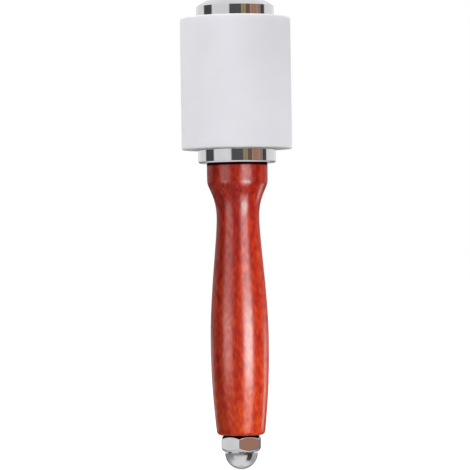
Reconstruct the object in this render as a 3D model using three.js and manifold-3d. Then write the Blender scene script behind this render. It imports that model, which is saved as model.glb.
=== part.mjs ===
import * as THREE from "three";
import { mergeVertices } from "three/addons/utils/BufferGeometryUtils.js";
import Module from "manifold-3d";

// Leather carving mallet: a nylon head between two polished steel discs, on a turned wooden
// handle. One threaded rod runs from the cap through all of them to an acorn nut at the butt,
// and tightening the nut clamps the stack.
// Millimetres. +Z runs along the tool to the head, and the origin is the middle of the handle.

// Nylon head
const headDiameter = 50;
const headLength = 59.4;
const headEdgeRadius = 0.6;

// Steel cap above the head, with its broad bevel and the blind hole that takes the rod
const capDiameter = 35;
const capThickness = 8.1;
const capBevelWidth = 5;
const capBevelHeight = 2.85;
const capEdgeChamfer = 0.3;
const capHoleDepth = 5.5;

// Steel collar between the head and the handle
const collarDiameter = 35;
const collarThickness = 6.25;
const collarLowerChamfer = 0.6;
const collarUpperChamfer = 0.3;

// Turned handle: depths are counted down from its upper end
const handleLength = 123;
const handleTopDiameter = 27.6;
const handleTopEdgeRadius = 0.4;
const bandDepth = 8;
const neckDiameter = 19.3;
const neckDepth = 24.5;
const bellyDiameter = 26.4;
const bellyDepth = 78;
const buttDiameter = 22.1;
const buttFaceDiameter = 17.6;
const buttRoundingHeight = 2;

// How far each end of a handle curve runs on straight, as shares of the curve's own height
const shoulderPullShares = { band: 0.2, neck: 0.6 };
const swellPullShares = { neck: 0.18, belly: 0.34 };
const taperPullShares = { belly: 0.3, butt: 0.5 };
// The lean of the handle's side where it reaches the butt, as a share of its run
const buttLeanShare = 0.1;

// Threaded rod, drawn at its outer diameter
const rodDiameter = 10;
const rodEndChamfer = 1;
const rodEndGap = 0.5;
const threadGap = 0.15;
const drillClearance = 0.5;
const boreMouthChamfer = 0.5;

// Acorn nut: a chamfered hexagon with a dome under it
const nutAcrossFlats = 17;
const nutHexHeight = 7.25;
const nutChamferDiameter = 15.6;
const nutChamferHeight = 1.6;
const domeDiameter = 14.8;
const domeBandHeight = 0.7;
const nutThreadDepth = 10;
const drillPointHeight = 3;
const nutTurn = THREE.MathUtils.degToRad(-5);

// How far a cutting body runs past the face that it cuts
const cutOverrun = 1;

// Mesh fineness
const sides = 48;
const hexSides = 6;
const sweepSteps = 9;
const roundingSteps = 4;
const domeSteps = 12;
const weldDistance = 1e-4;

const nutHeight = nutHexHeight + domeBandHeight + domeDiameter / 2;
const boreRadius = rodDiameter / 2 + drillClearance;
const threadRadius = rodDiameter / 2 + threadGap;

// Finishes
const polishedSteel = { color: "#c6c9cb", metalness: 1, roughness: 0.12 };
const platedSteel = { color: "#a9acae", metalness: 1, roughness: 0.35 };
const whiteNylon = { color: "#dcdce1", metalness: 0, roughness: 0.45 };
const stainedWood = { color: "#9c2716", metalness: 0, roughness: 0.25 };

const wasm = await Module();
wasm.setup();

const point = (radius, height) => new THREE.Vector2(radius, height);

// The points of a curve without its first, which the outline already holds
const along = (curve, steps) => curve.getPoints(steps).slice(1);

// A quarter round about a centre, from one angle in quarter turns to the next
function quarterRound(center, radius, height, quarter) {
  const start = (quarter * Math.PI) / 2;
  const curve = new THREE.EllipseCurve(center.x, center.y, radius, height, start, start + Math.PI / 2);
  return curve.getPoints(roundingSteps);
}

// A turned body about +Z: the outline runs up the outside, in radius and height
function turned(outline) {
  return new THREE.LatheGeometry(outline, sides).rotateX(Math.PI / 2);
}

// A solid that can be joined and cut, from a closed geometry
function solidOf(geometry) {
  geometry.deleteAttribute("normal");
  geometry.deleteAttribute("uv");
  const welded = mergeVertices(geometry, weldDistance);
  return new wasm.Manifold(
    new wasm.Mesh({
      numProp: welded.attributes.position.itemSize,
      vertProperties: welded.attributes.position.array,
      triVerts: new Uint32Array(welded.index.array),
    }),
  );
}

function geometryOf(solid) {
  const mesh = solid.getMesh();
  const geometry = new THREE.BufferGeometry();
  geometry.setAttribute("position", new THREE.BufferAttribute(mesh.vertProperties, mesh.numProp));
  geometry.setIndex(new THREE.BufferAttribute(mesh.triVerts, 1));
  const faceted = geometry.toNonIndexed();
  faceted.computeVertexNormals();
  return faceted;
}

function piece(name, geometry, look, height) {
  const mesh = new THREE.Mesh(geometry, new THREE.MeshStandardMaterial(look));
  mesh.name = name;
  mesh.position.z = height;
  return mesh;
}

// A drilled hole through a piece that reaches from zero to its length, with both mouths
// chamfered: one run of outline points opens the outline and the other closes it
function boreUp() {
  return [point(boreRadius, boreMouthChamfer), point(boreRadius + boreMouthChamfer, 0)];
}

function boreDown(length) {
  return [
    point(boreRadius + boreMouthChamfer, length),
    point(boreRadius, length - boreMouthChamfer),
    point(boreRadius, boreMouthChamfer),
  ];
}

// Bar stock faced to length, with both rims rounded over
function nylonHead() {
  const rim = headDiameter / 2 - headEdgeRadius;
  return turned([
    ...boreUp(),
    // The collar's seat ends here, and the open ring outside it is what hangs in a rack
    point(collarDiameter / 2, 0),
    ...quarterRound(point(rim, headEdgeRadius), headEdgeRadius, headEdgeRadius, 3),
    ...quarterRound(point(rim, headLength - headEdgeRadius), headEdgeRadius, headEdgeRadius, 0),
    ...boreDown(headLength),
  ]);
}

// A solid disc with a broad bevel round its face and a blind tapped hole from below
function topCap() {
  const rim = capDiameter / 2;
  return turned([
    point(0, capHoleDepth),
    point(threadRadius, capHoleDepth),
    point(threadRadius, boreMouthChamfer),
    point(threadRadius + boreMouthChamfer, 0),
    point(rim - capEdgeChamfer, 0),
    point(rim, capEdgeChamfer),
    point(rim, capThickness - capBevelHeight),
    point(rim - capBevelWidth, capThickness),
    point(0, capThickness),
  ]);
}

function collar() {
  const rim = collarDiameter / 2;
  return turned([
    ...boreUp(),
    point(rim - collarLowerChamfer, 0),
    point(rim, collarLowerChamfer),
    point(rim, collarThickness - collarUpperChamfer),
    point(rim - collarUpperChamfer, collarThickness),
    ...boreDown(collarThickness),
  ]);
}

// The handle's side, from the butt's rounding up to the band: taper, swell and shoulder are
// three curves that meet without a kink at the belly and the neck
function handleSide() {
  const up = (depth) => handleLength - depth;
  const butt = point(buttDiameter / 2, buttRoundingHeight);
  const belly = point(bellyDiameter / 2, up(bellyDepth));
  const neck = point(neckDiameter / 2, up(neckDepth));
  const band = point(handleTopDiameter / 2, up(bandDepth));
  const lifted = (from, height, lean = 0) => point(from.x + height * lean, from.y + height);

  const taperHeight = belly.y - butt.y;
  const taper = new THREE.CubicBezierCurve(
    butt,
    lifted(butt, taperHeight * taperPullShares.butt, buttLeanShare),
    lifted(belly, -taperHeight * taperPullShares.belly),
    belly,
  );
  const swellHeight = neck.y - belly.y;
  const swell = new THREE.CubicBezierCurve(
    belly,
    lifted(belly, swellHeight * swellPullShares.belly),
    lifted(neck, -swellHeight * swellPullShares.neck),
    neck,
  );
  const shoulderHeight = band.y - neck.y;
  const shoulder = new THREE.CubicBezierCurve(
    neck,
    lifted(neck, shoulderHeight * shoulderPullShares.neck),
    lifted(band, -shoulderHeight * shoulderPullShares.band),
    band,
  );
  return [taper, swell, shoulder].flatMap((curve) => along(curve, sweepSteps));
}

function handle() {
  const buttRound = (buttDiameter - buttFaceDiameter) / 2;
  const topRim = handleTopDiameter / 2 - handleTopEdgeRadius;
  const topRound = point(topRim, handleLength - handleTopEdgeRadius);
  return turned([
    ...boreUp(),
    ...quarterRound(point(buttFaceDiameter / 2, buttRoundingHeight), buttRound, buttRoundingHeight, 3),
    ...handleSide(),
    ...quarterRound(topRound, handleTopEdgeRadius, handleTopEdgeRadius, 0),
    ...boreDown(handleLength),
  ]);
}

function tieRod(length) {
  const radius = rodDiameter / 2;
  return turned([
    point(0, 0),
    point(radius - rodEndChamfer, 0),
    point(radius, rodEndChamfer),
    point(radius, length - rodEndChamfer),
    point(radius - rodEndChamfer, length),
    point(0, length),
  ]);
}

// The nut hangs below its seat at height zero. Two cones turn the hexagon's corners down,
// which leaves an arc on each flat, and the dome closes the tapped hole.
function acornNut() {
  const corner = nutAcrossFlats / 2 / Math.cos(Math.PI / hexSides);
  const hexagon = new THREE.CylinderGeometry(corner, corner, nutHexHeight, hexSides, 1, false, nutTurn);
  hexagon.rotateX(Math.PI / 2).translate(0, 0, -nutHexHeight / 2);

  // The cones run on at the same slope past the corners
  const chamferRun = corner - nutChamferDiameter / 2;
  const coneShare = (chamferRun + cutOverrun) / chamferRun;
  const coneHeight = nutChamferHeight * coneShare;
  const turnedDown = turned([
    point(0, -nutHexHeight),
    point(nutChamferDiameter / 2, -nutHexHeight),
    point(corner + cutOverrun, coneHeight - nutHexHeight),
    point(corner + cutOverrun, -coneHeight),
    point(nutChamferDiameter / 2, 0),
    point(0, 0),
  ]);

  const domeRadius = domeDiameter / 2;
  const domeCenter = -nutHexHeight - domeBandHeight;
  const round = new THREE.EllipseCurve(0, domeCenter, domeRadius, domeRadius, -Math.PI / 2, 0);
  const dome = turned([
    point(0, domeCenter - domeRadius),
    ...along(round, domeSteps),
    point(domeRadius, -nutHexHeight / 2),
    point(0, -nutHexHeight / 2),
  ]);

  const mouth = threadRadius + boreMouthChamfer;
  const hole = turned([
    point(0, -nutThreadDepth - drillPointHeight),
    point(threadRadius, -nutThreadDepth),
    point(threadRadius, -boreMouthChamfer),
    point(mouth, 0),
    point(mouth, cutOverrun),
    point(0, cutOverrun),
  ]);
  const nut = solidOf(hexagon).intersect(solidOf(turnedDown)).add(solidOf(dome)).subtract(solidOf(hole));
  return geometryOf(nut);
}

// Heights of the stack, from the nut up to the cap
const handleBottom = -handleLength / 2;
const collarBottom = handleBottom + handleLength;
const headBottom = collarBottom + collarThickness;
const capBottom = headBottom + headLength;
const rodBottom = handleBottom - nutThreadDepth + rodEndGap;
const rodTop = capBottom + capHoleDepth - rodEndGap;

const head = new THREE.Group();
head.add(
  piece("top_cap", topCap(), polishedSteel, capBottom),
  piece("nylon_head", nylonHead(), whiteNylon, headBottom),
  piece("collar", collar(), polishedSteel, collarBottom),
);

const grip = new THREE.Group();
grip.add(
  piece("handle", handle(), stainedWood, handleBottom),
  piece("acorn_nut", acornNut(), polishedSteel, handleBottom),
);

const mallet = new THREE.Group();
mallet.add(head, grip, piece("tie_rod", tieRod(rodTop - rodBottom), platedSteel, rodBottom));

console.log("length " + (capBottom + capThickness - handleBottom + nutHeight).toFixed(2) + " mm");

export default mallet;
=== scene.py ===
# %% [markdown]
# # A leather carving mallet, dressed in Blender
#
# A carving mallet is a stack on one rod: a steel cap, a nylon head, a steel collar and a turned
# wooden handle, pulled together by an acorn nut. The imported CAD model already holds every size, so
# this lesson only loads it, models each piece again with a finer surface, and paints it.

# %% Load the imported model
import math

import bmesh
import bpy
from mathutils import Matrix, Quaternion, Vector


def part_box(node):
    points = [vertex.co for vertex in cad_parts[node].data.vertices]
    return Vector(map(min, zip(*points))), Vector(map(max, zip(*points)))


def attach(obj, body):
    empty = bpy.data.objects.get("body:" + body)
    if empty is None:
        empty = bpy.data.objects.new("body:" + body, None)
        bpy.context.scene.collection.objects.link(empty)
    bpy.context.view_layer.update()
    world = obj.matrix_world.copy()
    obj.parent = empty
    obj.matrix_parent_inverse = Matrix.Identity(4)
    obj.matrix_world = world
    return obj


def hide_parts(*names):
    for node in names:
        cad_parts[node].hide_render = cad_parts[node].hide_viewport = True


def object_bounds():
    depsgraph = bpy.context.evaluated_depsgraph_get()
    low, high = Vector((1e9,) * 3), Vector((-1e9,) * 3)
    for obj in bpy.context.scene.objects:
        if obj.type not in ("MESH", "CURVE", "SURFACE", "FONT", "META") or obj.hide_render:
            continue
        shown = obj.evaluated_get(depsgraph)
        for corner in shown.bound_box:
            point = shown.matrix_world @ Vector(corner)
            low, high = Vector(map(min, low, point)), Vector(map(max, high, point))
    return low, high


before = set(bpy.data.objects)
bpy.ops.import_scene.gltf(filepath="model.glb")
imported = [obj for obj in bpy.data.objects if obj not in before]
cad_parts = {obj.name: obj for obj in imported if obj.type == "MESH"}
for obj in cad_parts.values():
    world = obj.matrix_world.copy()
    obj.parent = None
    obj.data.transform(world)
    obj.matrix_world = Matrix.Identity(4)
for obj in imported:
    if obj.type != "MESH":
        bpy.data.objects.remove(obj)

MM = 0.001

cad_low, cad_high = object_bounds()
print("CAD box", [round(v / MM, 2) for v in (*cad_low, *cad_high)], "mm")

# %% [markdown]
# ## The camera
#
# The picture was taken from a little over a metre away, level with the middle of the handle. That is
# why the cap's rims bow upward while the butt's rim bows downward. We could shift the lens, but
# tilting the camera keeps every other view honest. The mallet leans a little in the picture, by less
# than one degree, and that lean belongs to the camera too, because the tool itself is straight.

# %% Make the camera
PICTURE_PIXELS = 470
METRES_PER_PIXEL = 0.4525 * MM
SENSOR_MM = 36
CAMERA_DISTANCE = 1.27
CAMERA_HEIGHT = 13 * MM
CAMERA_ROLL = math.radians(0.85)
AIM = Vector((-1.45 * MM, 0, 29 * MM))

camera_data = bpy.data.cameras.new("camera")
camera_data.sensor_width = SENSOR_MM
camera_data.lens = SENSOR_MM * CAMERA_DISTANCE / (PICTURE_PIXELS * METRES_PER_PIXEL)
camera = bpy.data.objects.new("camera", camera_data)
bpy.context.scene.collection.objects.link(camera)
camera.location = (AIM.x, -CAMERA_DISTANCE, CAMERA_HEIGHT)
camera.rotation_mode = "QUATERNION"
looking = (AIM - camera.location).to_track_quat("-Z", "Y")
camera.rotation_quaternion = looking @ Quaternion((0, 0, 1), -CAMERA_ROLL)
bpy.context.scene.camera = camera
bpy.context.scene.view_settings.view_transform = "Standard"
print("lens", round(camera_data.lens), "mm")

# %% [markdown]
# ## Shader sums in plain Python
#
# A node tree is easier to read as sums. One small class wraps a socket, so that adding or
# multiplying two of them places the Math node, and one method makes every other kind of node.

# %% A wire and a tree that grow nodes
class Wire:
    """An output socket that can stand in a sum."""

    def __init__(self, tree, socket):
        self.tree = tree
        self.socket = socket

    def _math(self, operation, *values):
        return self.tree.add("ShaderNodeMath", {"operation": operation}, dict(enumerate(values)))

    def __add__(self, other):
        return self._math("ADD", self, other)

    def __sub__(self, other):
        return self._math("SUBTRACT", self, other)

    def __rsub__(self, other):
        return self._math("SUBTRACT", other, self)

    def __mul__(self, other):
        return self._math("MULTIPLY", self, other)

    def __truediv__(self, other):
        return self._math("DIVIDE", self, other)

    def __pow__(self, other):
        return self._math("POWER", self, other)

    __radd__ = __add__
    __rmul__ = __mul__

    def clamped(self):
        return self.tree.add("ShaderNodeClamp", {}, {0: self})

    def spread(self, low, high):
        """Runs from 0 at low to 1 at high, smoothly, and stays there outside."""
        inputs = {"Value": self, "From Min": low, "From Max": high}
        return self.tree.add("ShaderNodeMapRange", {"interpolation_type": "SMOOTHSTEP"}, inputs)


class Tree:
    """The node tree of a material or a world."""

    def __init__(self, owner):
        owner.use_nodes = True
        self.nodes = owner.node_tree.nodes
        self.links = owner.node_tree.links
        self.nodes.clear()

    def add(self, kind, settings, inputs, output=0):
        node = self.nodes.new(kind)
        for key, value in settings.items():
            if key == "stops":
                self._set_stops(node.color_ramp, value)
            else:
                setattr(node, key, value)
        for key, value in inputs.items():
            if isinstance(value, Wire):
                self.links.new(value.socket, node.inputs[key])
            else:
                node.inputs[key].default_value = value
        return Wire(self, node.outputs[output] if node.outputs else None)

    def _set_stops(self, ramp, stops):
        ramp.interpolation = "LINEAR"
        while len(ramp.elements) < len(stops):
            ramp.elements.new(1.0)
        for element, (place, colour) in zip(ramp.elements, stops):
            element.position = place
            element.color = (*colour, 1.0)

    def mix(self, factor, first, second):
        """A colour between two, by a factor."""
        both = {0: factor}
        for key, colour in ((6, first), (7, second)):
            both[key] = colour if isinstance(colour, Wire) else (*colour, 1.0)
        return self.add("ShaderNodeMix", {"data_type": "RGBA"}, both, output=2)

    def place(self, stretch=(1, 1, 1)):
        """Object coordinates in millimetres, stretched along each axis."""
        coordinates = self.add("ShaderNodeTexCoord", {}, {}, output="Object")
        scale = tuple(s / MM for s in stretch)
        return self.add("ShaderNodeMapping", {}, {"Vector": coordinates, "Scale": scale})

    def noise(self, vector, scale=1.0, detail=2.0, roughness=0.5):
        inputs = {"Vector": vector, "Scale": scale, "Detail": detail, "Roughness": roughness}
        return self.add("ShaderNodeTexNoise", {}, inputs)

    def parts(self, vector):
        """The X, Y and Z of a vector."""
        split = self.add("ShaderNodeSeparateXYZ", {}, {"Vector": vector})
        return [Wire(self, socket) for socket in split.socket.node.outputs]

    def height(self):
        """How high a point of the surface lies, in metres."""
        return self.parts(self.place())[2] * MM

    def bump(self, height, depth):
        """Relief from a height between 0 and 1 and its depth in metres."""
        return self.add("ShaderNodeBump", {}, {"Height": height, "Distance": depth})

    def finish(self, shader):
        self.add("ShaderNodeOutputMaterial", {}, {"Surface": shader})


def new_material(name):
    material = bpy.data.materials.new(name)
    return material, Tree(material)


# %% [markdown]
# ## The room that the polish mirrors
#
# A polished disc has no colour of its own: it shows the room. The picture's steel mirrors a white
# room with a few dark, olive, brown and tan strips. Painting these stripes on the metal would look
# wrong as soon as it turns, so they are part of the world, far away and upright, where every piece
# and every view mirrors the same strips from its own side. The cap's bevel looks up and mirrors a
# white ceiling, and the dome looks down and mirrors the ground, bright close by and darker far off.

# %% List the strips of the wall and of the ground
WHITE = (1, 1, 1)
SLATE = (0.09, 0.09, 0.095)
SOOT = (0.12, 0.12, 0.115)
OLIVE = (0.4, 0.3, 0.14)
UMBER = (0.2, 0.13, 0.085)
TAN = (0.5, 0.26, 0.18)
BROWN = (0.38, 0.26, 0.21)
MAROON = (0.12, 0.075, 0.07)

# A strip runs from one azimuth to another, in degrees. Azimuth 0 is the camera's side.
WALL_STRIPS = [
    (-106, -73, SLATE),
    (-17, 20, SOOT),
    (20, 31, OLIVE),
    (31, 47, UMBER),
    (47, 70, TAN),
    (70, 81, BROWN),
    (81, 98, MAROON),
    (168, 180, SLATE),
    (180, 192, BROWN),
]
WALL_SOFTNESS = 2.5

# Each grey of the ground stands behind the elevation at which it shows.
GROUND_BOTTOM = -60
OPEN_GROUND = [(-48, 1), (-28, 0.93), (-20, 0.8), (-12, 0.42), (-6, 0.33)]
GROUND_STRIPS = [
    (-150, -60, [(-50, 1), (-35, 0.6), (-20, 0.38), (-6, 0.33)]),
    (18, 52, [(-60, 1), (-30, 0.95), (-17, 0.75), (-10, 0.1)]),
    (43, 88, [(-60, 1), (-50, 0.6), (-42, 0.1), (-6, 0.05)]),
    (86, 140, [(-60, 1), (-36, 0.5), (-6, 0.6)]),
    (145, 215, [(-60, 0.8), (-45, 0.4), (-10, 0.25)]),
]
GROUND_SOFTNESS = 6

# The elevations at which the ground gives way to the wall, and the wall to the ceiling.
HORIZON = (-5.2, -4.2)
CEILING = (8, 20)


# %% Paint strips by direction
def shaded(tree, rise, greys):
    """The ground's grey, which changes with the elevation."""
    stops = [(1 - elevation / GROUND_BOTTOM, (grey, grey, grey)) for elevation, grey in greys]
    return tree.add("ShaderNodeValToRGB", {"stops": stops}, {"Fac": 1 - rise / GROUND_BOTTOM})


def striped(tree, turn, base, strips, softness):
    """A colour with strips, each from one azimuth to another."""
    colour = base
    for start, stop, strip in strips:
        half = (stop - start) / 2
        offset = turn - (start + stop) / 2
        offset = tree.add("ShaderNodeMath", {"operation": "WRAP"}, {0: offset, 1: 180, 2: -180})
        offset = tree.add("ShaderNodeMath", {"operation": "ABSOLUTE"}, {0: offset})
        inside = 1 - offset.spread(half - softness, half + softness)
        colour = tree.mix(inside, colour, strip)
    return colour


# %% [markdown]
# ## Floor, world and lamps
#
# The tool stands on pure white. Turning the lamps up until the floor burns out would burn out the
# nylon as well, so the whiteness comes from what the camera sees: for its rays the world is plain
# white and the floor glows a little, while the light on the tool stays at a level where a colour
# shows as it was mixed. The floor still darkens under the tool. Mirrored rays see the room instead,
# and the floor is left out of the mirrors, so that the nut sees the room too. A broad lamp from the
# upper left throws the shadow, and a narrow one brings out the swell of the handle.

# %% Make the white studio
FILL = 0.5
FLOOR_COLOUR = (0.5, 0.5, 0.5, 1)
FLOOR_GLOW = 0.8
FLOOR_RADIUS = 12


def rays_are(tree, *kinds):
    """1 for rays of these kinds."""
    outputs = tree.add("ShaderNodeLightPath", {}, {}).socket.node.outputs
    total = sum(Wire(tree, outputs[kind]) for kind in kinds)
    return total.clamped()


world = bpy.data.worlds.new("studio")
bpy.context.scene.world = world
tree = Tree(world)
direction = tree.add("ShaderNodeTexCoord", {}, {}, output="Generated")
x, y, z = tree.parts(direction)
turn = tree.add("ShaderNodeMath", {"operation": "ARCTAN2"}, {0: x, 1: -1 * y}) * math.degrees(1)
rise = tree.add("ShaderNodeMath", {"operation": "ARCSINE"}, {0: z}) * math.degrees(1)
wall = striped(tree, turn, WHITE, WALL_STRIPS, WALL_SOFTNESS)
grey_strips = [(start, stop, shaded(tree, rise, greys)) for start, stop, greys in GROUND_STRIPS]
ground = striped(tree, turn, shaded(tree, rise, OPEN_GROUND), grey_strips, GROUND_SOFTNESS)
room = tree.mix(rise.spread(*HORIZON), ground, wall)
room = tree.mix(rise.spread(*CEILING), room, WHITE)
backdrop = tree.mix(rays_are(tree, "Is Glossy Ray"), WHITE, room)
fill_light = tree.add("ShaderNodeBackground", {}, {"Color": (*WHITE, 1), "Strength": FILL})
background = tree.add("ShaderNodeBackground", {}, {"Color": backdrop, "Strength": 1.0})
straight = rays_are(tree, "Is Camera Ray", "Is Glossy Ray", "Is Transmission Ray")
shown = tree.add("ShaderNodeMixShader", {}, {0: straight, 1: fill_light, 2: background})
tree.add("ShaderNodeOutputWorld", {}, {"Surface": shown})

floor_material, tree = new_material("white_floor")
paint = tree.add("ShaderNodeBsdfDiffuse", {}, {"Color": FLOOR_COLOUR})
glow = tree.add("ShaderNodeEmission", {}, {"Color": (*WHITE, 1), "Strength": FLOOR_GLOW})
glowing = tree.add("ShaderNodeAddShader", {}, {0: paint, 1: glow})
seen_directly = rays_are(tree, "Is Camera Ray", "Is Glossy Ray", "Is Transmission Ray")
tree.finish(tree.add("ShaderNodeMixShader", {}, {0: seen_directly, 1: paint, 2: glowing}))

bpy.ops.object.select_all(action="DESELECT")
bpy.ops.mesh.primitive_circle_add(radius=FLOOR_RADIUS, fill_type="NGON", location=(0, 0, cad_low.z))
floor = bpy.context.object
floor.name = "floor"
floor.visible_glossy = False
floor.data.materials.append(floor_material)


# %% Hang the lamps
def add_lamp(name, kind, azimuth, elevation, distance, target, hidden_from=("glossy",), **settings):
    """A lamp that faces the tool's axis at the height target, in degrees and metres."""
    turn, rise = math.radians(azimuth), math.radians(elevation)
    flat = math.cos(rise)
    away = Vector((math.sin(turn) * flat, -math.cos(turn) * flat, math.sin(rise))) * distance
    lamp = bpy.data.lights.new(name, kind)
    for key, value in settings.items():
        setattr(lamp, key, value)
    holder = bpy.data.objects.new(name, lamp)
    holder.location = away + Vector((0, 0, target))
    holder.rotation_euler = (-away).to_track_quat("-Z", "Y").to_euler()
    for rays in hidden_from:
        setattr(holder, "visible_" + rays, False)
    bpy.context.scene.collection.objects.link(holder)
    return holder


key_lamp = add_lamp(
    "key_lamp", "AREA", azimuth=-25, elevation=60, distance=2, target=0,
    shape="SQUARE", size=1.4, energy=14.5,
)
add_lamp(
    "swell_lamp", "SPOT", azimuth=52, elevation=4, distance=1.2, target=-42 * MM,
    energy=42, shadow_soft_size=0.12, spot_size=math.radians(9), spot_blend=1,
)
print("floor at", round(cad_low.z / MM, 1), "mm")

# %% [markdown]
# ## Tools for the bench
#
# Every turned piece starts the same way as on a lathe: an outline, and one turn round the axis. A
# plane is shrunk to a single point, the point is pulled along the outline, and the chain is spun.
# A primitive cylinder would also do for the discs, but the outline can carry the bevel and the hole
# in one go. The outline's sizes are measured on the CAD pieces, so nothing has to be fitted.

# %% Measure a turned CAD piece
CORE_RADIUS = 6.3 * MM
SAME = 1e-6
NEAR = 10 * SAME


def rings(node):
    """The outline of a turned CAD piece outside its bore, as radius and height, from below."""
    widest = {}
    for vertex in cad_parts[node].data.vertices:
        radius = math.hypot(vertex.co.x, vertex.co.y)
        height = round(vertex.co.z, 7)
        if radius > CORE_RADIUS:
            widest[height] = max(widest.get(height, 0), radius)
    return [(widest[height], height) for height in sorted(widest)]


def bore_radius(node):
    """The radius of the hole through, or into, a CAD piece: its most common small radius."""
    small = [
        round(math.hypot(v.co.x, v.co.y), 6)
        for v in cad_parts[node].data.vertices
        if SAME < math.hypot(v.co.x, v.co.y) < CORE_RADIUS
    ]
    return max(set(small), key=small.count)


print("handle outline has", len(rings("handle")), "rings")


# %% Spin an outline, round its rims, and finish it
SPIN_STEPS = 144


def select_only(piece):
    bpy.ops.object.select_all(action="DESELECT")
    piece.select_set(True)
    bpy.context.view_layer.objects.active = piece


def pull_chain(name, start, pulls):
    """A plane shrunk to a point at start, which each pull draws out by an edge, in edit mode."""
    bpy.ops.object.select_all(action="DESELECT")
    bpy.ops.mesh.primitive_plane_add(size=1 * MM, location=(0, 0, 0))
    piece = bpy.context.object
    piece.name = name
    bpy.ops.object.mode_set(mode="EDIT")
    bpy.ops.mesh.merge(type="CENTER")
    bpy.ops.transform.translate(value=start)
    for pull in pulls:
        bpy.ops.mesh.extrude_vertices_move(TRANSFORM_OT_translate={"value": pull})
    bpy.ops.mesh.select_all(action="SELECT")
    return piece


def spin_outline(name, outline, steps=SPIN_STEPS, closed=True):
    """Turns an outline of radius and height into a piece round the Z axis."""
    first_radius, first_height = outline[0]
    onward = [*outline[1:], outline[0]] if closed else outline[1:]
    pulls = [
        (next_radius - radius, 0, next_height - height)
        for (radius, height), (next_radius, next_height) in zip(outline, onward)
    ]
    piece = pull_chain(name, (first_radius, 0, first_height), pulls)
    bpy.ops.mesh.spin(steps=steps, angle=math.tau, center=(0, 0, 0), axis=(0, 0, 1))
    bpy.ops.mesh.select_all(action="SELECT")
    bpy.ops.mesh.remove_doubles(threshold=SAME)
    bpy.ops.mesh.normals_make_consistent(inside=False)
    bpy.ops.mesh.select_all(action="DESELECT")
    bpy.ops.object.mode_set(mode="OBJECT")
    return piece


def round_edges(piece, width, segments, chosen):
    """Bevels the edges that chosen(edge) picks."""
    select_only(piece)
    bpy.ops.object.mode_set(mode="EDIT")
    mesh = bmesh.from_edit_mesh(piece.data)
    for edge in mesh.edges:
        edge.select_set(chosen(edge))
    bmesh.update_edit_mesh(piece.data)
    bpy.ops.mesh.bevel(offset=width, segments=segments, profile=0.5, affect="EDGES")
    bpy.ops.mesh.select_all(action="DESELECT")
    bpy.ops.object.mode_set(mode="OBJECT")


def sharper_than(degrees):
    return lambda edge: edge.calc_face_angle(0) > math.radians(degrees)


def apply_modifier(piece, kind, **settings):
    select_only(piece)
    modifier = piece.modifiers.new(kind.lower(), kind)
    for key, value in settings.items():
        setattr(modifier, key, value)
    bpy.ops.object.modifier_apply(modifier=modifier.name)


def finish_piece(piece, node, material, smooth_under=35):
    """Smooth shading that keeps the broad faces flat, then finish and place in the assembly."""
    select_only(piece)
    bpy.ops.object.shade_smooth_by_angle(angle=math.radians(smooth_under))
    apply_modifier(piece, "WEIGHTED_NORMAL", weight=100, keep_sharp=True)
    piece.data.materials.clear()
    piece.data.materials.append(material)
    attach(piece, "root")
    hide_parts(node)
    triangles = sum(len(face.vertices) - 2 for face in piece.data.polygons)
    print(piece.name, triangles, "triangles")


# %% [markdown]
# ## Polished steel
#
# The cap, the collar and the nut are turned stainless steel, buffed to a mirror. What is left of the
# lathe is a set of very fine rings, which blur the mirror a little from line to line. A perfectly
# smooth metal would look like glass, so the rings go into the roughness and, very shallow, into the
# bump.

# %% Mix the steel
STEEL_COLOUR = (0.63, 0.63, 0.65)
STEEL_DULL = (0.58, 0.58, 0.6)
STEEL_RING_DEPTH = 0.0015 * MM


def turned_rings(tree, per_mm):
    """Noise that runs round the axis: it only changes with radius and with height."""
    x, y, z = tree.parts(tree.place())
    radius = (x * x + y * y) ** 0.5
    line = tree.add("ShaderNodeCombineXYZ", {}, {"X": radius, "Y": z})
    return tree.noise(line, per_mm, detail=3.0, roughness=0.6)


def polished_steel():
    material, tree = new_material("polished_steel")
    lines = turned_rings(tree, per_mm=2.2)
    smears = tree.noise(tree.place(), scale=0.12, detail=3.0)
    shader = {
        "Base Color": tree.mix(smears.spread(0.35, 0.7), STEEL_COLOUR, STEEL_DULL),
        "Metallic": 1.0,
        "Roughness": 0.02 + lines * 0.05 + smears * 0.02,
        "Normal": tree.bump(lines, STEEL_RING_DEPTH),
    }
    tree.finish(tree.add("ShaderNodeBsdfPrincipled", {}, shader))
    return material


steel = polished_steel()

# %% [markdown]
# ## The cap
#
# The cap closes the head and takes the rod's upper thread in a blind hole. Its broad bevel keeps a
# wild blow from landing on a sharp rim. The outline runs from the hole's bottom, down the hole, out
# along the seat, and up and over the bevel, and the rims are rounded as a polishing wheel leaves
# them.

# %% Turn the cap
CAP_RIM_ROUND = 0.22 * MM

cap_low, cap_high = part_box("top_cap")
cap_rings = rings("top_cap")
cap_rim = max(radius for radius, height in cap_rings)
cap_side_top = max(height for radius, height in cap_rings if radius > cap_rim - SAME)
cap_flat_radius = cap_rings[-1][0]
cap_hole_radius = bore_radius("top_cap")
cap_hole_top = max(
    v.co.z
    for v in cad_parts["top_cap"].data.vertices
    if abs(math.hypot(v.co.x, v.co.y) - cap_hole_radius) < NEAR
)
top_cap = spin_outline(
    "top_cap_polished",
    [
        (0, cap_hole_top),
        (cap_hole_radius, cap_hole_top),
        (cap_hole_radius, cap_low.z),
        (cap_rim, cap_low.z),
        (cap_rim, cap_side_top),
        (cap_flat_radius, cap_high.z),
        (0, cap_high.z),
    ],
    closed=False,
)
round_edges(top_cap, CAP_RIM_ROUND, 4, sharper_than(20))
finish_piece(top_cap, "top_cap", steel)

# %% [markdown]
# ## The collar
#
# The collar spreads the handle's pull over the nylon. It is a plain ring with a small chamfer below,
# and that chamfer is the bright line above the wood.

# %% Turn the collar
COLLAR_RIM_ROUND = 0.12 * MM

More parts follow.
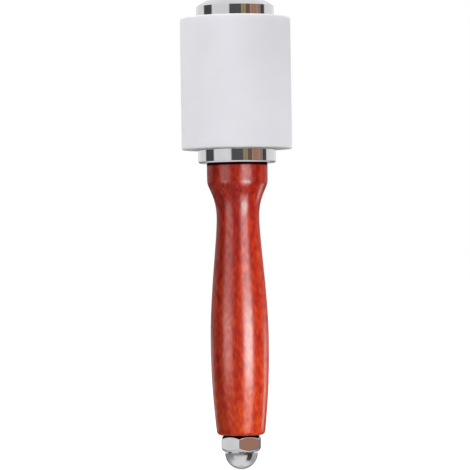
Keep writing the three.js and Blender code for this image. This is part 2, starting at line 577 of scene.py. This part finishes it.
collar_low, collar_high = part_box("collar")
collar_rings = rings("collar")
collar_rim = max(radius for radius, height in collar_rings)
collar_foot_radius = collar_rings[0][0]
collar_side_foot = min(height for radius, height in collar_rings if radius > collar_rim - SAME)
collar_hole = bore_radius("collar")
collar = spin_outline(
    "collar_polished",
    [
        (collar_hole, collar_low.z),
        (collar_foot_radius, collar_low.z),
        (collar_rim, collar_side_foot),
        (collar_rim, collar_high.z),
        (collar_hole, collar_high.z),
    ],
)
round_edges(collar, COLLAR_RIM_ROUND, 3, sharper_than(20))
finish_piece(collar, "collar", steel)

# %% [markdown]
# ## The nylon head
#
# The head is a length of white nylon bar, faced and drilled on the lathe. Nylon takes the blow
# without bouncing or marking the tools. Light goes a little way into it, so its shadows are soft,
# and the tool has left a fine thread of marks round it. The piece is a tube with both rims rounded
# over.

# %% Turn and colour the head
NYLON_COLOUR = (0.80, 0.805, 0.85)
NYLON_WARM = (0.775, 0.77, 0.81)
# Painted highlight: the colour and the reach of the lighter band on both rims of the head.
PAINTED_RIM_HIGHLIGHT = (0.93, 0.93, 0.95)
RIM_HIGHLIGHT_HEIGHT = 0.9 * MM
NYLON_RING_DEPTH = 0.012 * MM

head_low, head_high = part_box("nylon_head")


def white_nylon():
    material, tree = new_material("white_nylon")
    lines = turned_rings(tree, per_mm=3.5)
    clouds = tree.noise(tree.place(), scale=0.045, detail=3.0)
    height = tree.height()
    # Painted highlight: the top and bottom rims turn lighter over their last 0.9 mm, as if they
    # caught the light.
    above = height.spread(head_high.z - RIM_HIGHLIGHT_HEIGHT, head_high.z)
    below = 1 - height.spread(head_low.z, head_low.z + RIM_HIGHLIGHT_HEIGHT)
    bar_colour = tree.mix(clouds.spread(0.3, 0.7), NYLON_COLOUR, NYLON_WARM)
    shader = {
        "Base Color": tree.mix((above + below).clamped(), bar_colour, PAINTED_RIM_HIGHLIGHT),
        "Roughness": 0.4 + lines * 0.12,
        "Subsurface Weight": 0.6,
        "Subsurface Radius": (1.0, 0.9, 0.85),
        "Subsurface Scale": 6 * MM,
        "Specular IOR Level": 0.3,
        "IOR": 1.53,
        "Normal": tree.bump(lines, NYLON_RING_DEPTH),
    }
    tree.finish(tree.add("ShaderNodeBsdfPrincipled", {}, shader))
    return material


head_rings = rings("nylon_head")
head_rim = max(radius for radius, height in head_rings)
head_round = head_rim - head_rings[0][0]
head_hole = bore_radius("nylon_head")
nylon_head = spin_outline(
    "nylon_head_bar",
    [
        (head_hole, head_low.z),
        (head_rim, head_low.z),
        (head_rim, head_high.z),
        (head_hole, head_high.z),
    ],
)
round_edges(nylon_head, head_round, 8, sharper_than(60))
finish_piece(nylon_head, "nylon_head", white_nylon())

# %% [markdown]
# ## The wooden handle
#
# The handle is turned in one piece: a band under the collar, a shoulder that falls to a slim neck,
# a long swell that fills the palm, and a rounded butt. The rings of the CAD piece give the outline,
# and a Subdivision Surface makes one flowing skin of them. The two ends stay crisp because their
# rims are bevelled first.
#
# The wood is stained red and lacquered. Under the gloss its pattern has several scales: long streaks
# of stain, a mottled figure a few millimetres wide, ripples that wind round the handle, and fine
# fibres and short dark pores along the grain. The lacquer has sunk a little over them, which breaks
# up the long highlights. A near-black band just under the collar and on the butt's lowest rim is
# painted shade, where the handle meets the collar and the nut. The wood is also painted lighter
# towards the butt: partly its stain, partly painted shade at the top under the head.

# %% Turn the handle
TOP_ROUND = 0.4 * MM
HANDLE_EDGE_ROUND = 0.12 * MM
HANDLE_STEPS = 48

handle_low, handle_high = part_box("handle")
handle_rings = rings("handle")
handle_hole = bore_radius("handle")
top_radius = handle_rings.pop()[0]
handle = spin_outline(
    "handle_turned",
    [
        (handle_hole, handle_low.z),
        *handle_rings,
        (top_radius, handle_high.z - TOP_ROUND),
        (top_radius - TOP_ROUND, handle_high.z),
        (handle_hole, handle_high.z),
    ],
    steps=HANDLE_STEPS,
)
round_edges(handle, HANDLE_EDGE_ROUND, 2, sharper_than(50))
apply_modifier(handle, "SUBSURF", levels=2, render_levels=2)

# %% Stain and lacquer the wood
WOOD_STOPS = [
    (0.0, (0.16, 0.002, 0.001)),
    (0.3, (0.34, 0.008, 0.001)),
    (0.5, (0.5, 0.024, 0.003)),
    (0.7, (0.66, 0.056, 0.007)),
    (1.0, (0.8, 0.14, 0.02)),
]
PORE_COLOUR = (0.12, 0.008, 0.004)
# Painted shade: the near-black colour of the band under the collar and at the butt's foot.
PAINTED_SHADE_COLOUR = (0.02, 0.001, 0.001)
STAIN_LEVEL = 0.32
# Partly stain and partly painted shade: how much lighter the wood gets from the top down to the
# butt.
STAIN_AND_SHADE_DOWN = 0.3
GLOSS_LEVEL = 0.36
SHADE_BAND_TOP = 0.7 * MM
SHADE_BAND_REACH = 1.5 * MM
SHADE_BAND_FOOT = 0.3 * MM
RIPPLE_TWIST = 0.05
PORE_DEPTH = 0.02 * MM

# How many waves a pattern has to a millimetre, along X, Y and Z. The grain runs along Z.
STREAK_WAVES = (0.16, 0.16, 0.02)
MOTTLE_WAVES = (0.42, 0.42, 0.28)
RIPPLE_WAVES = (0.5, 0.5, 0.16)
FIBRE_WAVES = (1.3, 1.3, 0.3)
GRIT_WAVES = (0.95, 0.95, 0.75)
PORE_WAVES = (3.2, 3.2, 0.4)


def ripple(tree, twist):
    """Short streaks that wind round the handle, to the right or to the left."""
    place = tree.place()
    inputs = {"Vector": place, "Angle": tree.parts(place)[2] * twist}
    wound = tree.add("ShaderNodeVectorRotate", {"rotation_type": "Z_AXIS"}, inputs)
    return tree.noise(tree.add("ShaderNodeMapping", {}, {"Vector": wound, "Scale": RIPPLE_WAVES}))


def stained_wood():
    material, tree = new_material("stained_wood")
    height = tree.height()
    streaks = tree.noise(tree.place(STREAK_WAVES), detail=4.0)
    mottle = tree.noise(tree.place(MOTTLE_WAVES), detail=3.0)
    ripples = (ripple(tree, RIPPLE_TWIST) + ripple(tree, -RIPPLE_TWIST)) * 0.5
    fibres = tree.noise(tree.place(FIBRE_WAVES))
    grit = tree.noise(tree.place(GRIT_WAVES))
    pores = tree.noise(tree.place(PORE_WAVES), detail=1.0).spread(0.68, 0.76)
    # The wood is painted lighter towards the butt: partly its stain, partly painted shade at the top
    # under the head.
    down = 1 - height.spread(handle_low.z, handle_high.z)
    shade = STAIN_LEVEL + (streaks - 0.5) * 0.5 + (mottle - 0.5) * 0.6 + (ripples - 0.5) * 0.6
    shade = shade + (fibres - 0.5) * 0.5 + down * STAIN_AND_SHADE_DOWN
    stain = tree.add("ShaderNodeValToRGB", {"stops": WOOD_STOPS}, {"Fac": shade})
    grained = tree.mix(pores * 0.4, stain, PORE_COLOUR)
    # Painted shade: the wood turns near black and loses its gloss just under the collar and on the
    # butt's lowest 0.3 mm, where it meets the collar and the nut.
    painted_shade = height.spread(handle_high.z - SHADE_BAND_REACH, handle_high.z - SHADE_BAND_TOP)
    painted_shade = painted_shade + height.spread(handle_low.z + SHADE_BAND_FOOT, handle_low.z)
    gloss = GLOSS_LEVEL + (grit - 0.5) * 0.35 + (ripples - 0.5) * 0.2
    shader = {
        "Base Color": tree.mix(painted_shade, grained, PAINTED_SHADE_COLOUR),
        "Roughness": 0.35 + mottle * 0.1,
        "IOR": 1.5,
        "Specular IOR Level": 0.0,
        "Coat Weight": (gloss * (1 - painted_shade)).clamped(),
        "Coat Roughness": 0.25,
        "Coat IOR": 1.6,
        "Normal": tree.bump(grit * 0.6 + fibres * 0.3 - pores * 0.2, PORE_DEPTH),
    }
    tree.finish(tree.add("ShaderNodeBsdfPrincipled", {}, shader))
    return material


finish_piece(handle, "handle", stained_wood(), smooth_under=40)

# %% [markdown]
# ## Light for the head and for the handle
#
# The world's even light makes a round thing look flat, so it only gives about half of what is
# needed. The head gets the rest from a ring of lamps, and stays even. The handle gets it from a
# lamp on the right, and falls dark on the left. Linking a lamp to one piece keeps its light off the
# others. The two long highlights are soft boxes: lamps that only show as a reflection, and that the
# steel doesn't mirror. On each side a tall box stands far off and a short one close to the swell,
# and a narrow one behind draws a line of light along the edge.

# %% Light the head and the handle
RING_LAMPS = 6
RING_ENERGY = 4.2
SIDE_AZIMUTH = 35
SIDE_ENERGY = 12


def only_for(*pieces):
    """A collection of a few pieces, to link lamps to."""
    collection = bpy.data.collections.new(pieces[0].name + "_light")
    for piece in pieces:
        collection.objects.link(piece)
    return collection


def linked_lamp(name, receivers, azimuth, energy):
    """A square lamp, a little above the tool, that lights only the receivers."""
    lamp = add_lamp(
        name, "AREA", azimuth, elevation=10, distance=1.5, target=0,
        shape="SQUARE", size=0.8, energy=energy,
    )
    lamp.light_linking.receiver_collection = receivers


head_only = only_for(nylon_head)
handle_only = only_for(handle)
key_lamp.light_linking.receiver_collection = only_for(floor, nylon_head)
for step in range(RING_LAMPS):
    linked_lamp(f"ring_lamp_{step}", head_only, 360 / RING_LAMPS * step, RING_ENERGY)
linked_lamp("side_lamp", handle_only, SIDE_AZIMUTH, SIDE_ENERGY)

# %% Stand the soft boxes
HIDDEN_FROM = ("diffuse", "camera", "transmission")

# Each box has its azimuth, and in metres its distance, the height of its middle, its width and its
# height. Then come the brightness of its reflection, where 1 is white, and the share of red in it.
SOFT_BOXES = {
    "right_tall_box": (33, 1.2, -0.15, 0.8, 1.5, 10, 0.65),
    "right_short_box": (35, 0.25, -0.025, 0.14, 0.09, 28, 0.4),
    "left_tall_box": (-48, 1.2, 0.2, 0.8, 0.8, 4.4, 0.65),
    "left_short_box": (-48, 0.25, -0.02, 0.15, 0.08, 6, 0.65),
    "right_edge_box": (119, 0.25, -0.06, 0.07, 0.1, 7, 0.7),
    "left_edge_box": (-140, 0.25, -0.06, 0.07, 0.08, 1.5, 0.8),
}

for name, (azimuth, distance, middle, width, height, glow, red) in SOFT_BOXES.items():
    box = add_lamp(
        name, "AREA", azimuth, 0, distance, middle, HIDDEN_FROM,
        shape="RECTANGLE", size=width, size_y=height, energy=glow * math.pi * width * height,
        color=(red, 1, 1),
    )
    box.light_linking.receiver_collection = handle_only
print(len(SOFT_BOXES), "soft boxes")

# %% [markdown]
# ## The acorn nut
#
# The nut starts as a six-sided bar. On the lathe its rims are turned down by two cones, which leaves
# an arc on every flat, and the dome is turned below. We do the same with booleans: a hexagon, cut
# by a double cone, joined to a dome, and drilled. A last bevel breaks all the edges, because it is
# these tiny rounds that catch the light.

# %% Measure the nut
HEX_SIDES = 6
NUT_CORNER_ROUND = 1.9 * MM
NUT_EDGE_ROUND = 0.25 * MM
CUT_OVERRUN = 1 * MM
DOME_STEPS = 24

nut_low, nut_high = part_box("acorn_nut")
nut_points = [v.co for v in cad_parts["acorn_nut"].data.vertices]
corner_radius = max(math.hypot(p.x, p.y) for p in nut_points)
chamfer_radius = rings("acorn_nut")[-1][0]
corner_heights = [p.z for p in nut_points if math.hypot(p.x, p.y) > corner_radius - SAME]
chamfer_height = nut_high.z - max(corner_heights)
hex_low = min(corner_heights) - chamfer_height
front_corner = min(nut_points, key=lambda p: p.y)
nut_turn = math.atan2(front_corner.x, -front_corner.y)
dome_radius = max(math.hypot(p.x, p.y) for p in nut_points if p.z < hex_low - SAME)
nut_hole = bore_radius("acorn_nut")
print("nut corner radius", round(corner_radius / MM, 2), "turned", round(math.degrees(nut_turn), 1))


# %% Turn down the rims of a six-sided bar
def is_upright(edge):
    return abs(edge.verts[0].co.z - edge.verts[1].co.z) > SAME


def hexagon_bar(name, radius, low, high, turn, corner_round):
    """A six-sided bar with a corner towards the camera, and its long edges rounded."""
    bpy.ops.object.select_all(action="DESELECT")
    bpy.ops.mesh.primitive_cylinder_add(
        vertices=HEX_SIDES, radius=radius, depth=high - low, rotation=(0, 0, turn)
    )
    bar = bpy.context.object
    bar.name = name
    bar.location.z = (low + high) / 2
    bpy.ops.object.transform_apply(location=True, rotation=True, scale=False)
    round_edges(bar, corner_round * math.tan(math.pi / HEX_SIDES), 6, is_upright)
    return bar


def combine(piece, operation, other):
    apply_modifier(piece, "BOOLEAN", operation=operation, object=other, solver="EXACT")
    bpy.data.objects.remove(other)


acorn_nut = hexagon_bar(
    "acorn_nut_polished", corner_radius, hex_low, nut_high.z, nut_turn, NUT_CORNER_ROUND
)
slope = chamfer_height / (corner_radius - chamfer_radius)
cone_reach = corner_radius + CUT_OVERRUN
cone_height = (cone_reach - chamfer_radius) * slope
double_cone = spin_outline(
    "double_cone",
    [
        (0, hex_low),
        (chamfer_radius, hex_low),
        (cone_reach, hex_low + cone_height),
        (cone_reach, nut_high.z - cone_height),
        (chamfer_radius, nut_high.z),
        (0, nut_high.z),
    ],
    closed=False,
)
combine(acorn_nut, "INTERSECT", double_cone)

# %% Add the dome and drill the hole
dome_centre = nut_low.z + dome_radius
quarter = [math.pi / 2 * step / DOME_STEPS for step in range(DOME_STEPS + 1)]
dome = spin_outline(
    "dome",
    [
        *((dome_radius * math.sin(a), dome_centre - dome_radius * math.cos(a)) for a in quarter),
        (dome_radius, hex_low + CUT_OVERRUN),
        (0, hex_low + CUT_OVERRUN),
    ],
    closed=False,
)
combine(acorn_nut, "UNION", dome)

hole_points = [p for p in nut_points if abs(math.hypot(p.x, p.y) - nut_hole) < NEAR]
hole_bottom = min(p.z for p in hole_points)
drill_tip = max(p.z for p in nut_points if math.hypot(p.x, p.y) < SAME)
hole = spin_outline(
    "hole",
    [
        (0, drill_tip),
        (nut_hole, hole_bottom),
        (nut_hole, nut_high.z + CUT_OVERRUN),
        (0, nut_high.z + CUT_OVERRUN),
    ],
    closed=False,
)
combine(acorn_nut, "DIFFERENCE", hole)


# %% Break the edges of the hexagon
def on_hexagon(edge):
    """The sharp edges outside the dome: the arcs and the two rims."""
    outside = all(math.hypot(v.co.x, v.co.y) > dome_radius + SAME for v in edge.verts)
    return outside and edge.calc_face_angle(0) > math.radians(25)


round_edges(acorn_nut, NUT_EDGE_ROUND, 3, on_hexagon)
finish_piece(acorn_nut, "acorn_nut", steel)

# %% [markdown]
# ## The rod inside
#
# The rod holds the whole stack together, though nobody sees it. The screw tool winds one turn of
# its thread, an Array modifier stacks the turns, and a boolean with a plain bar faces both ends off
# square and chamfers them.

# %% Mix the plated steel
ZINC_DARK = (0.36, 0.365, 0.37)
ZINC_BRIGHT = (0.45, 0.455, 0.46)
ZINC_DEPTH = 0.01 * MM


def plated_steel():
    material, tree = new_material("plated_steel")
    grain = tree.noise(tree.place(), scale=0.8, detail=4.0)
    shader = {
        "Base Color": tree.mix(grain.spread(0.35, 0.65), ZINC_DARK, ZINC_BRIGHT),
        "Metallic": 1.0,
        "Roughness": 0.3 + grain * 0.15,
        "Normal": tree.bump(grain, ZINC_DEPTH),
    }
    tree.finish(tree.add("ShaderNodeBsdfPrincipled", {}, shader))
    return material


# %% Wind the threaded rod
THREAD_PITCH = 1.5 * MM
THREAD_DEPTH = 0.9 * MM
THREAD_STEPS = 24
CREST_SHARE = 0.125
BAR_STEPS = 48

rod_low, rod_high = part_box("tie_rod")
rod_radius = rod_high.x
rod_points = [v.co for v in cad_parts["tie_rod"].data.vertices]
rod_end_radius = max(math.hypot(p.x, p.y) for p in rod_points if p.z > rod_high.z - SAME)
print("rod", round((rod_high.z - rod_low.z) / MM, 2), "mm long")


def wind_thread(name, root_radius, low, high):
    """A closed helical thread that covers low to high."""
    flank = THREAD_PITCH * (1 - CREST_SHARE) / 2
    crest = THREAD_PITCH * CREST_SHARE
    pulls = [(THREAD_DEPTH, 0, flank), (0, 0, crest), (-THREAD_DEPTH, 0, flank)]
    thread = pull_chain(name, (root_radius, 0, 0), pulls)
    bpy.ops.mesh.screw(steps=THREAD_STEPS, turns=1, center=(0, 0, 0), axis=(0, 0, 1))
    bpy.ops.object.mode_set(mode="OBJECT")
    turns = math.ceil((high - low) / THREAD_PITCH) + 2
    apply_modifier(
        thread, "ARRAY", count=turns, use_relative_offset=False, use_constant_offset=True,
        constant_offset_displace=(0, 0, THREAD_PITCH),
    )
    bpy.ops.object.mode_set(mode="EDIT")
    bpy.ops.mesh.select_all(action="SELECT")
    bpy.ops.mesh.remove_doubles(threshold=SAME)
    bpy.ops.mesh.select_all(action="DESELECT")
    bpy.ops.mesh.select_non_manifold()
    bpy.ops.mesh.edge_face_add()
    bpy.ops.mesh.select_all(action="SELECT")
    bpy.ops.mesh.quads_convert_to_tris()
    bpy.ops.mesh.normals_make_consistent(inside=False)
    bpy.ops.object.mode_set(mode="OBJECT")
    heights = [v.co.z for v in thread.data.vertices]
    thread.location.z = (low + high) / 2 - (min(heights) + max(heights)) / 2
    bpy.ops.object.transform_apply(location=True, rotation=False, scale=False)
    return thread


tie_rod = wind_thread("tie_rod_threaded", rod_radius - THREAD_DEPTH, rod_low.z, rod_high.z)
wide = rod_radius + CUT_OVERRUN
bar = spin_outline(
    "bar",
    [
        (0, rod_low.z),
        (rod_end_radius, rod_low.z),
        (wide, rod_low.z + wide - rod_end_radius),
        (wide, rod_high.z - wide + rod_end_radius),
        (rod_end_radius, rod_high.z),
        (0, rod_high.z),
    ],
    steps=BAR_STEPS,
    closed=False,
)
combine(tie_rod, "INTERSECT", bar)
finish_piece(tie_rod, "tie_rod", plated_steel())
